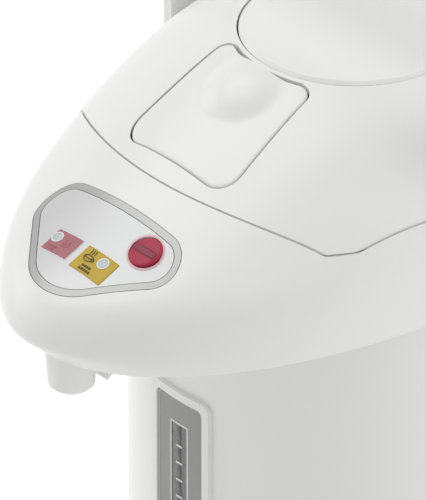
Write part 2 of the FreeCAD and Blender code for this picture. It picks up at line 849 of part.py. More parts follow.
hinge_height, hinge_offset = size("hinge_height").value, size("hinge_offset").value
knuckle_half = size("knuckle_half_width").value
ear = size("ear_thickness").value
knuckle_radius = size("knuckle_radius").value
liner_top = size("liner_plate_height").value
liner_thickness = size("liner_thickness").value
pivot_height = size("pivot_height").value
pivot_radius = size("pivot_radius").value
pivot_hole = Part.makeCylinder(pivot_radius + gap, 2 * FAR, Vector(-FAR, 0, pivot_height), Vector(1, 0, 0))
skirt_inset = size("skirt_inset").value
head = skin.cut(below_rim).cut(upright(grown(lid_edge, lid_gap), lid_part - lid_gap, FAR))
head = head.cut(upright(grown(lid_plan, gap - skirt_inset), lid_part - size("skirt_relief").value, FAR))
head = head.cut(Part.makeCylinder(body_radius.value + gap, rim, Vector()))
knuckle_room = Part.makeCylinder(knuckle_radius + gap, 2 * (knuckle_half + gap),
                                 Vector(-knuckle_half - gap, hinge_offset, hinge_height), Vector(1, 0, 0))
head = head.cut(upright(panel_plan, panel_low, FAR)).cut(knuckle_room).cut(pivot_hole)
keep("head_shell", solid(head))

cup_width = size("cup_lever_width").value
cup_reach = size("cup_lever_reach").value
cup_thick = size("cup_lever_thickness").value
cup_axis = size("cup_lever_axis").value
nozzle_root = size("nozzle_root_radius").value
cover_low = size("cover_recess").value
cover_high = cover_low + size("cover_thickness").value
outlet_bore = Part.makeCylinder(hose_radius.value + gap, FAR, Vector(0, -nozzle_reach.value, 0))
cup_slot = block(-cup_width / 2 - 1, cup_width / 2 + 1, -cup_reach, -cup_reach + cup_thick + 7, 0, FAR)
cover = head_room.common(sloped_slab(cover_low, cover_high, body_radius.value / 4, reach_far))
cover = cover.cut(Part.makeCylinder(body_radius.value + gap, FAR, Vector()))
keep("spout_cover", solid(cover.cut(outlet_bore).cut(cup_slot)))

nozzle_top = rim_level(nozzle_reach.value + nozzle_root) + cover_low - gap
nozzle_bore = size("nozzle_bore")
keep("nozzle", turned([
    (nozzle_bore, nozzle_foot), (size("nozzle_radius") - size("nozzle_chamfer"), nozzle_foot),
    (size("nozzle_radius"), nozzle_foot + size("nozzle_chamfer")),
    (size("nozzle_root_radius"), nozzle_top), (nozzle_bore, nozzle_top)], 0, -nozzle_reach))
keep("outlet_pipe", solid(hose(
    [centre_point(tube_offset, tube_top), centre_point(tube_offset, outlet_level),
     centre_point(nozzle_reach, outlet_level), centre_point(nozzle_reach, nozzle_top)],
    bend, hose_radius.value, hose_bore.value)))

liner_radius, mouth = size("liner_radius").value, size("mouth_radius").value
liner_low = liner_foot.value
plate = head_room.common(block(-FAR, FAR, -size("lid_reach").value - 8, FAR,
                               liner_top - liner_thickness, liner_top))
liner = plate.cut(Part.makeCylinder(liner_radius - liner_thickness, FAR, Vector()))
liner = liner.fuse(Part.makeCylinder(liner_radius, liner_top - liner_low, Vector(0, 0, liner_low)).cut(
    Part.makeCylinder(liner_radius - liner_thickness, FAR, Vector(0, 0, liner_low + liner_thickness))))
liner = liner.cut(Part.makeCylinder(mouth, FAR, Vector()))
keep("head_liner", solid(liner.removeSplitter()))

catch_width, catch_reach = size("catch_width").value, size("catch_reach").value
latch_nose, latch_foot = size("latch_nose").value, size("latch_foot").value
latch_top = latch_foot + size("latch_height").value
hook_low = latch_top + gap
catch = block(-catch_width / 2, catch_width / 2, -catch_reach, -catch_reach + ear, liner_top,
              hook_low + liner_thickness)
hook = block(-catch_width / 2, catch_width / 2, -catch_reach, -latch_nose - gap, hook_low,
             hook_low + liner_thickness)
keep("catch_plate", solid(catch.fuse(hook).removeSplitter()))

# Lid hinge: a block on the back of the head with two ears, and a steel pin through the lid's knuckle

pin_size = size("hinge_pin_radius").value


def cross_rod(radius, half_length, y, z, start=None):
    low = -half_length if start is None else start
    return Part.makeCylinder(radius, half_length - low, Vector(low, y, z), Vector(1, 0, 0))


ear_low = knuckle_half + gap
ear_radius = knuckle_radius - 1
block_foot = size("hinge_block_foot").value
bracket = block(-ear_low - ear, ear_low + ear, 0, hinge_offset + ear_radius, block_foot,
                hinge_height - knuckle_radius - gap)
for side in (-1, 1):
    low, high = sorted((side * ear_low, side * (ear_low + ear)))
    bracket = bracket.fuse(block(low, high, hinge_offset - ear_radius, hinge_offset + ear_radius,
                                 block_foot, hinge_height))
    bracket = bracket.fuse(cross_rod(ear_radius, high, hinge_offset, hinge_height, low))
bracket = bracket.cut(head_outer).cut(cross_rod(pin_size + running_gap.value / 2, FAR, hinge_offset, hinge_height))
keep("hinge_bracket", solid(bracket.removeSplitter()))
keep("hinge_pin", solid(cross_rod(pin_size, ear_low + ear, hinge_offset, hinge_height)))

# Cup lever: hangs behind the nozzle on its own pin and presses a switch

boss = size("cup_lever_boss").value
small_pin = size("small_pin_radius").value
cup_y = -cup_reach + boss
cup_foot = size("cup_lever_foot").value
paddle_side = [Vector(0, -cup_reach + gap, cup_axis), Vector(0, -cup_reach + gap, cup_foot),
               Vector(0, -cup_reach + cup_thick, cup_foot + 2),
               Vector(0, -cup_reach + cup_thick * 2, rim_level(cup_reach)), Vector(0, cup_y, cup_axis)]
paddle = Part.Face(Part.makePolygon(paddle_side + [paddle_side[0]])).extrude(Vector(cup_width, 0, 0))
paddle.translate(Vector(-cup_width / 2, 0, 0))
paddle = paddle.fuse(cross_rod(boss, cup_width / 2, cup_y, cup_axis))
paddle = paddle.cut(cross_rod(small_pin + running_gap.value, FAR, cup_y, cup_axis))
keep("cup_lever", solid(paddle.removeSplitter()))
lug_x = cup_width / 2 + gap
lugs = []
for side in (-1, 1):
    low, high = sorted((side * lug_x, side * (lug_x + cup_thick)))
    foot = rim_level(cup_reach) + cover_high
    lug = block(low, high, cup_y - boss, cup_y + boss, foot, cup_axis + boss)
    lugs.append(lug.cut(cross_rod(small_pin + running_gap.value / 2, FAR, cup_y, cup_axis)))
keep("lever_brackets", solid(Part.makeCompound(lugs)))
keep("cup_lever_pin", solid(cross_rod(small_pin, lug_x + cup_thick, cup_y, cup_axis)))
switch_foot = rim_level(-cup_y - boss * 2) + cover_high
keep("micro_switch", solid(block(lug_x + cup_thick, lug_x + cup_thick * 3, cup_y - boss, cup_y + boss * 2,
                                 switch_foot, cup_axis)))

# Water gauge on the front of the body

gauge_foot, gauge_width = size("gauge_foot").value, size("gauge_width").value
gauge_tall = gauge_top.value - gauge_foot
gauge_rim = size("gauge_rim").value


def gauge_form(width, low, high, corner, inner, outer):
    # A curved tile on the body's front, with rounded corners
    ring = Part.makeCylinder(outer, high - low, Vector(0, 0, low)).cut(
        Part.makeCylinder(inner, high - low, Vector(0, 0, low)))
    tile = Part.makeBox(width, FAR, high - low, Vector(-width / 2, -FAR, low))
    if corner:
        tile = tile.makeFillet(corner, [edge for edge in tile.Edges
                                        if abs(edge.tangentAt(edge.FirstParameter).y) > 0.9])
    return ring.common(tile)


body_out = body_radius.value
corner = size("gauge_corner").value
gauge_outer = body_out + size("gauge_proud").value
frame_outer = gauge_form(gauge_width, gauge_foot, gauge_top.value, corner, body_out, gauge_outer)
frame_inner = gauge_form(gauge_width - 2 * gauge_rim, gauge_foot + gauge_rim, gauge_top.value - gauge_rim,
                         corner - 1.5, body_out - 1, gauge_outer + 1)
keep("gauge_frame", solid(frame_outer.cut(frame_inner)))
scale_tile = gauge_form(gauge_width - 2 * gauge_rim - gap, gauge_foot + gauge_rim + gap / 2,
                        gauge_top.value - gauge_rim - gap / 2, corner - 1.5, body_out,
                        body_out + size("scale_proud").value)
window = gauge_form(window_width.value, window_foot.value, window_top.value, 0, body_out - 1, gauge_outer)
keep("gauge_scale", solid(scale_tile.cut(window)))
keep("gauge_lens", solid(gauge_form(window_width.value - gap, window_foot.value + gap / 2,
                                    window_top.value - gap / 2, 0, body_out,
                                    body_out + size("lens_proud").value)))

# Handle: two arms and a grip in one moulding, on two studs through the head's sides

handle_in, handle_out = size("handle_inside").value, (size("handle_inside") + size("handle_thickness")).value
handle_top = pivot_height + size("handle_arm").value + size("grip_thickness").value / 2
handle_wide = size("handle_width").value
handle_round = size("handle_round").value


def arch(half_width, top, round_radius):
    plate_face = Part.makeBox(2 * half_width, handle_wide, top - pivot_height + handle_wide,
                              Vector(-half_width, -handle_wide / 2, pivot_height - handle_wide))
    crown = [edge for edge in plate_face.Edges
             if edge.BoundBox.ZMin > top - 1 and edge.BoundBox.XLength < 1]
    return plate_face.makeFillet(round_radius, crown)


handle = arch(handle_out, handle_top, handle_round).cut(
    arch(handle_in, handle_top - size("grip_thickness").value, handle_round - 8))
handle = handle.common(block(-FAR, FAR, -FAR, FAR, pivot_height, FAR).fuse(
    cross_rod(handle_wide / 2, FAR, 0, pivot_height)))
handle = handle.cut(cross_rod(pivot_radius + running_gap.value, FAR, 0, pivot_height))
keep("handle", solid(handle.removeSplitter()))
cap_radius, cap_thick = size("pivot_cap_radius").value, size("pivot_cap_thickness").value
stud_in = belt_half_width - head_wall * 2 - gap
studs = []
for side in (-1, 1):
    reach = handle_out + gap
    stud = Part.makeCylinder(pivot_radius, reach - stud_in, Vector(stud_in, 0, pivot_height), Vector(1, 0, 0))
    stud = stud.fuse(Part.makeCylinder(cap_radius, cap_thick, Vector(reach, 0, pivot_height), Vector(1, 0, 0)))
    stud = stud.fuse(Part.makeCylinder(cap_radius - cap_thick, cap_thick,
                                       Vector(stud_in - cap_thick, 0, pivot_height), Vector(1, 0, 0)))
    studs.append(stud.removeSplitter() if side > 0 else
                 stud.removeSplitter().mirror(Vector(), Vector(1, 0, 0)))
keep("handle_studs", solid(Part.makeCompound(studs)))

# Lid: outer shell with its skirt and air pump well

skirt_thick = size("skirt_thickness").value
skirt_foot = size("skirt_foot").value
skirt = wall_between(grown(lid_plan, -skirt_inset), grown(lid_plan, -skirt_inset - skirt_thick),
                     skirt_foot, FAR).common(head_outer)
well_radius = size("disc_radius").value + size("disc_gap").value
well_foot = size("well_foot").value
well_outer = well_radius + size("well_thickness").value
well = Part.makeCylinder(well_outer, FAR, Vector(0, 0, well_foot)).cut(
    Part.makeCylinder(well_radius, FAR, Vector(0, 0, well_foot))).common(head_outer)
lever_y, lever_z = -size("lever_axis_reach").value, size("lever_axis_height").value
lever_half = size("lever_half_width").value
lever_gap = size("lever_gap").value
lug_low, lug_thick = lever_half + lever_gap * 2, cup_thick
lid_lugs = []
for side in (-1, 1):
    low, high = sorted((side * lug_low, side * (lug_low + lug_thick)))
    lid_lugs.append(block(low, high, lever_y - boss, lever_y + boss, lever_z - boss, FAR).common(head_outer))
knuckle = cross_rod(knuckle_radius, knuckle_half, hinge_offset, hinge_height)
web = block(-knuckle_half, knuckle_half, size("lid_radius").value - skirt_inset - skirt_thick,
            hinge_offset, lid_part, hinge_height + knuckle_radius / 2)
lid = skin.common(lid_zone).cut(Part.makeCylinder(well_radius, FAR, Vector()))
lid = lid.fuse([skirt, well, knuckle, web] + lid_lugs)
lever_plan = rounded(
    [Vector(-lever_half, -size("lever_front").value, 0), Vector(lever_half, -size("lever_front").value, 0),
     Vector(size("lever_rear_half_width").value, -size("lever_rear").value, 0),
     Vector(-size("lever_rear_half_width").value, -size("lever_rear").value, 0)],
    [size("lever_corner").value] * 2 + [size("lever_corner").value / 2] * 2)
well_column = Part.makeCylinder(well_outer + lever_gap * 1.6, 2 * FAR, Vector())
lever_hole = upright(grown(lever_plan, lever_gap), lid_part, FAR).cut(
    Part.makeCylinder(well_outer, 2 * FAR, Vector()))
latch_width = size("latch_width").value
latch_window = block(-latch_width / 2 - gap, latch_width / 2 + gap, -FAR, -latch_nose / 2 - well_radius / 2,
                     latch_foot - gap, latch_top + gap)
lid = lid.cut(lever_hole).cut(latch_window)
lid = lid.cut(cross_rod(pin_size + running_gap.value, FAR, hinge_offset, hinge_height))
lid = lid.cut(cross_rod(small_pin + running_gap.value / 2, lug_low + lug_thick, lever_y, lever_z))
keep("lid_shell", solid(lid))

# Lid underside: a flange below the skirt and a dish down to the mouth, with its seal

dish_floor, dish_radius = size("dish_floor").value, size("dish_radius").value
dish_wall, dish_taper = size("dish_wall").value, size("dish_taper").value
flange = upright(grown(lid_plan, -skirt_inset), skirt_foot - dish_wall, skirt_foot)
dish_tall = skirt_foot - dish_floor
dish = Part.makeCone(dish_radius - dish_taper, dish_radius, dish_tall, Vector(0, 0, dish_floor))
hollow = Part.makeCone(dish_radius - dish_taper - dish_wall, dish_radius - dish_wall, dish_tall,
                       Vector(0, 0, dish_floor + dish_wall))
vent = Part.makeCylinder(boss, FAR, Vector(0, size("vent_offset").value, dish_floor - 1))
underside = flange.fuse(dish).cut(hollow).cut(vent)
keep("lid_underside", solid(underside.removeSplitter()))
gasket_radius = size("gasket_radius")
keep("lid_gasket", tube(gasket_radius, gasket_radius - size("gasket_width"),
                        liner_foot + liner_thickness + seat_gap, size("dish_floor")))

# Air pump: the round plate on top, the bellows below it, and its return spring

disc_radius, disc_edge = size("disc_radius"), size("disc_edge")
disc_under = top_height - size("disc_thickness")
skirt_low = top_height - size("disc_skirt")
skirt_inner = disc_radius - size("dish_wall")
keep("pump_plate", turned([
    (0, disc_under), (skirt_inner, disc_under), (skirt_inner, skirt_low), (disc_radius, skirt_low),
    (disc_radius, top_height - disc_edge), (disc_radius - disc_edge, top_height), (0, top_height)]))
bellows_foot = size("dish_floor") + size("dish_wall")
bellows_top = disc_under - seat_gap
bellows_radius, bellows_wall = size("bellows_radius"), size("bellows_wall")
fold = size("bellows_fold")
folds = int(size("bellows_folds").value)
step = (bellows_top - bellows_foot) / (2 * folds)
outside = [(bellows_radius - fold * (index % 2), bellows_foot + step * index) for index in range(2 * folds + 1)]
inside = [(radius - bellows_wall, level) for radius, level in reversed(outside)]
keep("bellows", turned(outside + inside))
keep("pump_spring", tube(size("spring_radius"), size("spring_radius") - size("spring_wire"),
                         bellows_foot, bellows_top))

# Release lever: a tile flush with the lid, its thumb dome, and a finger that wedges the latch

tile = skin.common(upright(lever_plan, lid_part, FAR)).cut(well_column)
dome_radius, dome_rise = size("dome_radius").value, size("dome_rise").value
ball_radius = (dome_radius ** 2 + dome_rise ** 2) / (2 * dome_rise)
dome_centre = on_panel(0, size("dome_reach").value, ball_radius - dome_rise)
cap_angle = math.degrees(math.asin((ball_radius - dome_rise - head_wall / 2) / ball_radius))
dome_ball = Part.makeSphere(ball_radius, dome_centre, panel_up, cap_angle, 90).cut(well_column)
axle = cross_rod(boss, lever_half - lever_gap * 2, lever_y, lever_z)
webs = []
for side in (-1, 1):
    low, high = sorted((side * (lever_half - 8), side * (lever_half - 4)))
    webs.append(block(low, high, lever_y - boss + 1, lever_y + boss - 1, lever_z, FAR).common(head_outer))
finger_y, finger_foot = -size("finger_reach").value, size("finger_foot").value
finger = block(-boss, boss, finger_y - 2, finger_y + 2, finger_foot, FAR).common(head_outer)
lever = tile.fuse([dome_ball, axle, finger] + webs).cut(
    cross_rod(small_pin + running_gap.value, FAR, lever_y, lever_z))
keep("release_lever", solid(lever.removeSplitter()))
keep("lever_pin", solid(cross_rod(small_pin, lug_low + lug_thick, lever_y, lever_z)))

latch_tail = size("latch_tail").value
ramp_start = finger_y - 1.2
bolt = block(-latch_width / 2, latch_width / 2, -latch_nose, -latch_tail, latch_foot, latch_top)
ramp_side = [Vector(-boss, ramp_start, latch_top), Vector(-boss, -latch_tail, latch_top),
             Vector(-boss, -latch_tail, latch_top + size("latch_ramp").value)]
ramp = Part.Face(Part.makePolygon(ramp_side + [ramp_side[0]])).extrude(Vector(2 * boss, 0, 0))
keep("latch_bolt", solid(bolt.fuse(ramp).removeSplitter()))

# Every piece is checked before any of them is written

doc.recompute()
faults = []
for item in doc.Objects:
    if "Invalid" in item.State or "Error" in item.State:
        faults.append(f"{item.Label}: {item.State}")
for name, item in nodes.items():
    shape = item.Shape
    if shape.isNull() or not shape.isValid() or not shape.Solids:
        faults.append(f"{name}: bad shape")
if faults:
    raise RuntimeError("; ".join(faults))
os.makedirs("parts", exist_ok=True)
for name, item in nodes.items():
    item.Shape.exportStep(f"parts/{name}.step")
    box_of = item.Shape.BoundBox
    print(f"{name}: {len(item.Shape.Solids)} solid(s), {item.Shape.Volume / 1000:.2f} cm3, "
          f"z {box_of.ZMin:.1f} to {box_of.ZMax:.1f}")
print(len(nodes), "pieces")
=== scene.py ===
import math

import bpy
import numpy as np
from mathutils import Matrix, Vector


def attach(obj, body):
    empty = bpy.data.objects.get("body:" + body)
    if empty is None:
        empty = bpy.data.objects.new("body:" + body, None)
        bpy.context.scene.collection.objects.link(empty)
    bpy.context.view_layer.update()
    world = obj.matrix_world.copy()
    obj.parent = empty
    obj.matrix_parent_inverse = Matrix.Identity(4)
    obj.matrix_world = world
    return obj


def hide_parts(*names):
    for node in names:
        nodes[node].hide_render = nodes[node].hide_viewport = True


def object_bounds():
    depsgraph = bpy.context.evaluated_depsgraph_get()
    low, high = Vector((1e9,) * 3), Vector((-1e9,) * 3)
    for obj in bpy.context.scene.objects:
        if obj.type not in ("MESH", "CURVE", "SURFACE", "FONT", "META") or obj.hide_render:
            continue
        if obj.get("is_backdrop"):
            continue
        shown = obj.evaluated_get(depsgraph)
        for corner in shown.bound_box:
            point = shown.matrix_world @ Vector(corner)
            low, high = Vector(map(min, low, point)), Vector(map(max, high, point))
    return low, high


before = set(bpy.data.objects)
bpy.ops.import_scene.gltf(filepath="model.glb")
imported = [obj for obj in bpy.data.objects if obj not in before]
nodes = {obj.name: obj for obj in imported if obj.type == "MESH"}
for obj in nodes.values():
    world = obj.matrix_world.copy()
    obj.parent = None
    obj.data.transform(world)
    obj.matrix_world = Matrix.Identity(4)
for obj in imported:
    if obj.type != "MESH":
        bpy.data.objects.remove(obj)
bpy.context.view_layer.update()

mm = 0.001
scene = bpy.context.scene
print("thermo pot: frame loaded with", len(nodes), "CAD nodes")

# Camera: a close view from the front right and above, with hardly any perspective
shot = {
    "lookAt": (-1.6, -80.2, 260.3),   # mm, what lies in the middle of the picture
    "azimuth": 49.5,                  # degrees round from the front
    "elevation": 31.0,
    "distance": 6000,                 # mm
    "pictureHeight": 218.6,           # mm of the pot from the top edge to the bottom one
    "clip": (0.1, 100),               # m
}
turn, rise = math.radians(shot["azimuth"]), math.radians(shot["elevation"])
towardsCamera = Vector((math.sin(turn) * math.cos(rise), -math.cos(turn) * math.cos(rise), math.sin(rise)))
lens = bpy.data.cameras.new("photoLens")
lens.lens = lens.sensor_width * shot["distance"] / shot["pictureHeight"]
lens.clip_start, lens.clip_end = shot["clip"]
camera = bpy.data.objects.new("photoCamera", lens)
scene.collection.objects.link(camera)
camera.location = (Vector(shot["lookAt"]) + towardsCamera * shot["distance"]) * mm
camera.rotation_euler = (-towardsCamera).to_track_quat("-Z", "Y").to_euler()
scene.camera = camera
scene.view_settings.view_transform = "Standard"


# Materials

def linearColour(hexText):
    parts = [int(hexText[i:i + 2], 16) / 255 for i in (0, 2, 4)]
    return tuple(p / 12.92 if p <= 0.04045 else ((p + 0.055) / 1.055) ** 2.4 for p in parts) + (1.0,)


def addNode(tree, kind, values=None, links=None, **settings):
    node = tree.nodes.new("ShaderNode" + kind)
    for setting, value in settings.items():
        setattr(node, setting, value)
    for socket, value in (values or {}).items():
        node.inputs[socket].default_value = value
    for socket, (source, output) in (links or {}).items():
        tree.links.new(source.outputs[output], node.inputs[socket])
    return node


def newFinish(name, colour, roughness, **sockets):
    material = bpy.data.materials.new(name)
    material.use_nodes = True
    shader = material.node_tree.nodes["Principled BSDF"]
    shader.inputs["Base Color"].default_value = linearColour(colour)
    shader.inputs["Roughness"].default_value = roughness
    for socket, value in sockets.items():
        shader.inputs[socket.replace("_", " ")].default_value = value
    return material


def noiseOver(tree, size, detail, stretch):
    # noise in the object's own space: size in mm
    place = addNode(tree, "TexCoord")
    spread = addNode(tree, "Mapping", {"Scale": stretch}, {"Vector": (place, "Object")})
    fineness = {"Scale": 1 / (size * mm), "Detail": detail}
    return addNode(tree, "TexNoise", fineness, {"Vector": (spread, "Vector")})


def grain(material, size, height, stretch=(1, 1, 1), detail=2.0):
    # relief from the mould, the brush or the spray gun: size and height in mm
    tree = material.node_tree
    shader = tree.nodes["Principled BSDF"]
    noise = noiseOver(tree, size, detail, stretch)
    bump = addNode(tree, "Bump", {"Distance": height * mm, "Strength": 1.0}, {"Height": (noise, "Fac")})
    tree.links.new(bump.outputs["Normal"], shader.inputs["Normal"])
    return material


def clouding(material, colours, size, roughness, stretch=(1, 1, 1)):
    # slow change of colour and gloss over the surface: size in mm
    tree = material.node_tree
    shader = tree.nodes["Principled BSDF"]
    noise = noiseOver(tree, size, 3.0, stretch)
    tint = addNode(tree, "Mix", None, {"Factor": (noise, "Fac")}, data_type="RGBA")
    for socket, colour in zip((6, 7), colours):
        tint.inputs[socket].default_value = linearColour(colour)
    low, high = roughness
    gloss = addNode(tree, "MapRange", {"To Min": low, "To Max": high}, {"Value": (noise, "Fac")})
    tree.links.new(tint.outputs[2], shader.inputs["Base Color"])
    tree.links.new(gloss.outputs["Result"], shader.inputs["Roughness"])
    return material


def newCoat(name, colours, roughness, cloud, relief, cloudStretch=(1, 1, 1), grainStretch=(1, 1, 1),
            detail=2.0, **sockets):
    # colours and roughness: the plain value, then the two ends of its clouding; relief: size and height
    material = newFinish(name, colours[0], roughness[0], **sockets)
    clouding(material, colours[1:], cloud, roughness[1:], cloudStretch)
    return grain(material, *relief, grainStretch, detail)


finishes = {
    # moulded ABS: white, satin from the mould, with an even skin that takes soft wide highlights
    "white_abs": newCoat("moulded ABS", ("EFEFED", "EDEDEB", "F1F1EF"), (0.3, 0.27, 0.34),
                         45, (1.1, 0.006), IOR=1.54),
    # baked enamel on sheet steel: a little glossier, with a faint orange peel
    "white_body": newCoat("baked enamel on steel", ("EFEFEE", "EEEEED", "F1F1F0"), (0.24, 0.2, 0.27),
                          60, (2.6, 0.008), IOR=1.5),
    # moulded polypropylene: greyer and waxier than the outer shells
    "inner_plastic": newCoat("moulded polypropylene", ("DCDDDB", "D9DAD8", "DFE0DE"), (0.42, 0.38, 0.48),
                             30, (0.9, 0.012), IOR=1.49),
    # EPDM rubber: matt, with a fine talc bloom
    "rubber": newCoat("EPDM rubber", ("2E2F30", "29292A", "38393A"), (0.78, 0.7, 0.85),
                      9, (0.5, 0.02), IOR=1.5),
    # cast silicone: milky, soft shine
    "silicone": newCoat("cast silicone", ("E2E3DF", "DEDFDB", "E8E9E6"), (0.45, 0.4, 0.5),
                        15, (0.8, 0.01), IOR=1.41, Subsurface_Weight=0.15, Subsurface_Scale=0.003),
    # brushed stainless steel: the brush runs round the vessel
    "steel": newCoat("brushed stainless steel", ("C9CACB", "C2C3C4", "D0D1D2"), (0.3, 0.24, 0.36),
                     8, (0.9, 0.004), (1, 1, 12), (1, 1, 4), 3.0, Metallic=1.0),
    # drawn brass: warm, polished, a little tarnish
    "brass": newCoat("drawn brass", ("D8B878", "CDA964", "DFC288"), (0.28, 0.22, 0.36),
                     6, (0.6, 0.004), Metallic=1.0),
    # needled felt: fibres, no shine
    "felt": newCoat("needled felt", ("C9C6BE", "BDBAB1", "D6D3CB"), (0.95, 0.9, 1.0),
                    4, (0.35, 0.15), detail=6.0, Sheen_Weight=0.4),
    # glass-filled nylon: near black and matt
    "dark_plastic": newCoat("glass-filled nylon", ("2B2C2E", "262729", "323335"), (0.55, 0.5, 0.62),
                            12, (0.4, 0.015), IOR=1.53),
    # FR4 laminate under green solder mask: glass weave just visible
    "board": newCoat("solder-masked laminate", ("2F6B45", "2A6340", "36754D"), (0.35, 0.3, 0.42),
                     3, (0.7, 0.01), IOR=1.5, Coat_Weight=0.3),
    # polished ABS rim of the gauge: glossier than the shells
    "gauge_white": newCoat("polished ABS", ("EDEDEC", "EBEBEA", "EFEFEE"), (0.2, 0.16, 0.24),
                           20, (1.5, 0.003), IOR=1.54),
    # screen print on polyester film: flat mid grey with the film's low gloss
    "gauge_grey": newCoat("screen-printed polyester", ("949492", "919190", "979795"), (0.42, 0.38, 0.48),
                          14, (0.5, 0.004), IOR=1.64),
    # moulded polycarbonate: clear, faintly smoked
    "clear": grain(newFinish("clear polycarbonate", "B9BBBB", 0.12, IOR=1.585, Transmission_Weight=0.75),
                   3.0, 0.003),
    # silver lacquer sprayed on ABS: fine flake under a clear coat
    "bezel_grey": newCoat("silver lacquer", ("A6A7A4", "A1A29F", "ACADAA"), (0.34, 0.3, 0.4),
                          0.6, (0.4, 0.004), Metallic=0.35, Coat_Weight=0.4),
    # pearl ink behind polyester film: pale silver, cooler and warmer in slow clouds over the panel
    "overlay": newCoat("pearl polyester film", ("CACBCB", "C6C7C8", "D0D0CF"), (0.3, 0.26, 0.36),
                       34, (0.5, 0.003), IOR=1.64, Metallic=0.15),
    # diffused epoxy: the milky lens of a lamp that is off
    "lamp": newCoat("diffused epoxy", ("C9C8CC", "C3C2C6", "CFCED2"), (0.3, 0.26, 0.36),
                    2, (0.4, 0.004), IOR=1.55, Subsurface_Weight=0.2, Subsurface_Scale=0.002),
    # soft-touch ABS, dyed crimson
    "red": newCoat("dyed soft-touch ABS", ("A81F40", "A21C3C", "AE2444"), (0.5, 0.4, 0.5),
                   6, (0.4, 0.006), IOR=1.45),
}

# printing inks on the panel and the gauge: thin films, each with a slight screen texture
inks = {}
for ink, colour, second in (("pinkInk", "AE6C73", "A7636B"), ("yellowInk", "C6A722", "BF9F1A"),
                            ("darkInk", "4A4023", "544A2B"), ("roseInk", "A9656E", "A35F68"),
                            ("whiteInk", "F0EEEC", "EAE8E6"), ("haloInk", "EBC9CC", "E6C0C4"),
                            ("paleInk", "D2D2D0", "CCCCCA"), ("stripInk", "6F6F6E", "666665"),
                            ("wineInk", "8A2038", "831D34")):
    inks[ink] = newCoat("screen ink " + ink[:-3], (colour, colour, second), (0.45, 0.4, 0.52),
                        1.2, (0.25, 0.003), IOR=1.5)

for node in nodes.values():
    for place in node.material_slots:
        place.material = finishes[place.material.name.split(".")[0]]
print("thermo pot: finishes on every CAD node")


# Mesh helpers: all lengths in mm

def addPiece(name, points, faces, finish, body, slot, replaced=(), solidify=0.0):
    # solidify thickens a skin outwards
    mesh = bpy.data.meshes.new(name)
    mesh.from_pydata([[c * mm for c in p] for p in points], [], faces)
    mesh.validate()
    mesh.shade_smooth()
    mesh.materials.append(finish)
    piece = bpy.data.objects.new(name, mesh)
    scene.collection.objects.link(piece)
    if solidify:
        thick = piece.modifiers.new("film", "SOLIDIFY")
        thick.thickness, thick.offset = solidify * mm, 1.0
    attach(piece, body)
    if replaced:
        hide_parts(*replaced)
    return piece


def ringFaces(rings, count):
    # quads between closed rings of count points each, from the first ring outwards
    faces = []
    for ring in range(rings - 1):
        for k in range(count):
            a, b = ring * count + k, ring * count + (k + 1) % count
            faces.append((a, a + count, b + count, b))
    return faces


def stripFaces(rows, count):
    # quads between open rows of count points each
    return [(r * count + k, r * count + k + 1, (r + 1) * count + k + 1, (r + 1) * count + k)
            for r in range(rows - 1) for k in range(count - 1)]


def capFaces(rings, count):
    return [tuple(range(count)), tuple(reversed(range((rings - 1) * count, rings * count)))]


def joined(parts):
    # several point and face lists as one
    points, faces = [], []
    for morePoints, moreFaces in parts:
        faces += [tuple(v + len(points) for v in face) for face in moreFaces]
        points += list(morePoints)
    return points, faces


def roundedOutline(corners, radii, step=0.6):
    # a polygon with rounded corners; corners run anticlockwise
    outline = []
    count = len(corners)
    for index in range(count):
        before, here, after = (Vector(corners[(index + k) % count]) for k in (-1, 0, 1))
        a, b = (before - here).normalized(), (after - here).normalized()
        half = a.angle(b) / 2
        radius = radii[index]
        middle = here + (a + b).normalized() * (radius / math.sin(half))
        first, last = here + a * (radius / math.tan(half)), here + b * (radius / math.tan(half))
        start = math.atan2(first.y - middle.y, first.x - middle.x)
        sweep = (math.atan2(last.y - middle.y, last.x - middle.x) - start) % (2 * math.pi)
        pieces = max(3, int(sweep * radius / step))
        for k in range(pieces + 1):
            angle = start + sweep * k / pieces
            outline.append(middle + Vector((math.cos(angle), math.sin(angle))) * radius)
    dense = []
    for k, point in enumerate(outline):
        following = outline[(k + 1) % len(outline)]
        run = max(1, int((following - point).length / step))
        dense += [point.lerp(following, j / run) for j in range(run)]
    return dense


def circle(centre, radius, count=72, squeeze=1.0):
    return [Vector((centre[0] + radius * math.cos(2 * math.pi * k / count),
                    centre[1] + squeeze * radius * math.sin(2 * math.pi * k / count))) for k in range(count)]


def fan(outline, centre, shares, height):
    # a skin in rings from shares[0] to shares[-1] of the way from centre to outline; height gives z
    centre = Vector(centre)
    points = []
    for share in shares:
        for edge in outline:
            p = centre.lerp(edge, share)
            points.append((p.x, p.y, height(p.x, p.y)))
    faces = ringFaces(len(shares), len(outline))
    if shares[0] < 0.2:
        faces.append(tuple(range(len(outline))))
    return points, faces


def smoothFit(name, keep, degree, middle, span):
    # the smooth surface through a CAD node's upward faces, as a function of x and y
    mesh = nodes[name].data
    facingUp = 0.7
    corners = {v for f in mesh.polygons if f.normal.z > facingUp for v in f.vertices}
    points = np.array([[c / mm for c in mesh.vertices[v].co] for v in sorted(corners)])
    points = points[[keep(*p) for p in points]]
    powers = [(i, j) for i in range(degree + 1) for j in range(degree + 1 - i)]

    def terms(x, y):
        across, along = (x - middle[0]) / span, (y - middle[1]) / span
        return np.stack([across ** i * along ** j for i, j in powers], -1)

    # points that lie well below the fit belong to undersides and edges: they are dropped in turns
    for attempt in range(5):
        share = np.linalg.lstsq(terms(points[:, 0], points[:, 1]), points[:, 2], rcond=None)[0]
        error = points[:, 2] - terms(points[:, 0], points[:, 1]) @ share
        points = points[error > -max(0.15, 2 * error.std())]
    return lambda x, y: float(terms(np.float64(x), np.float64(y)) @ share)


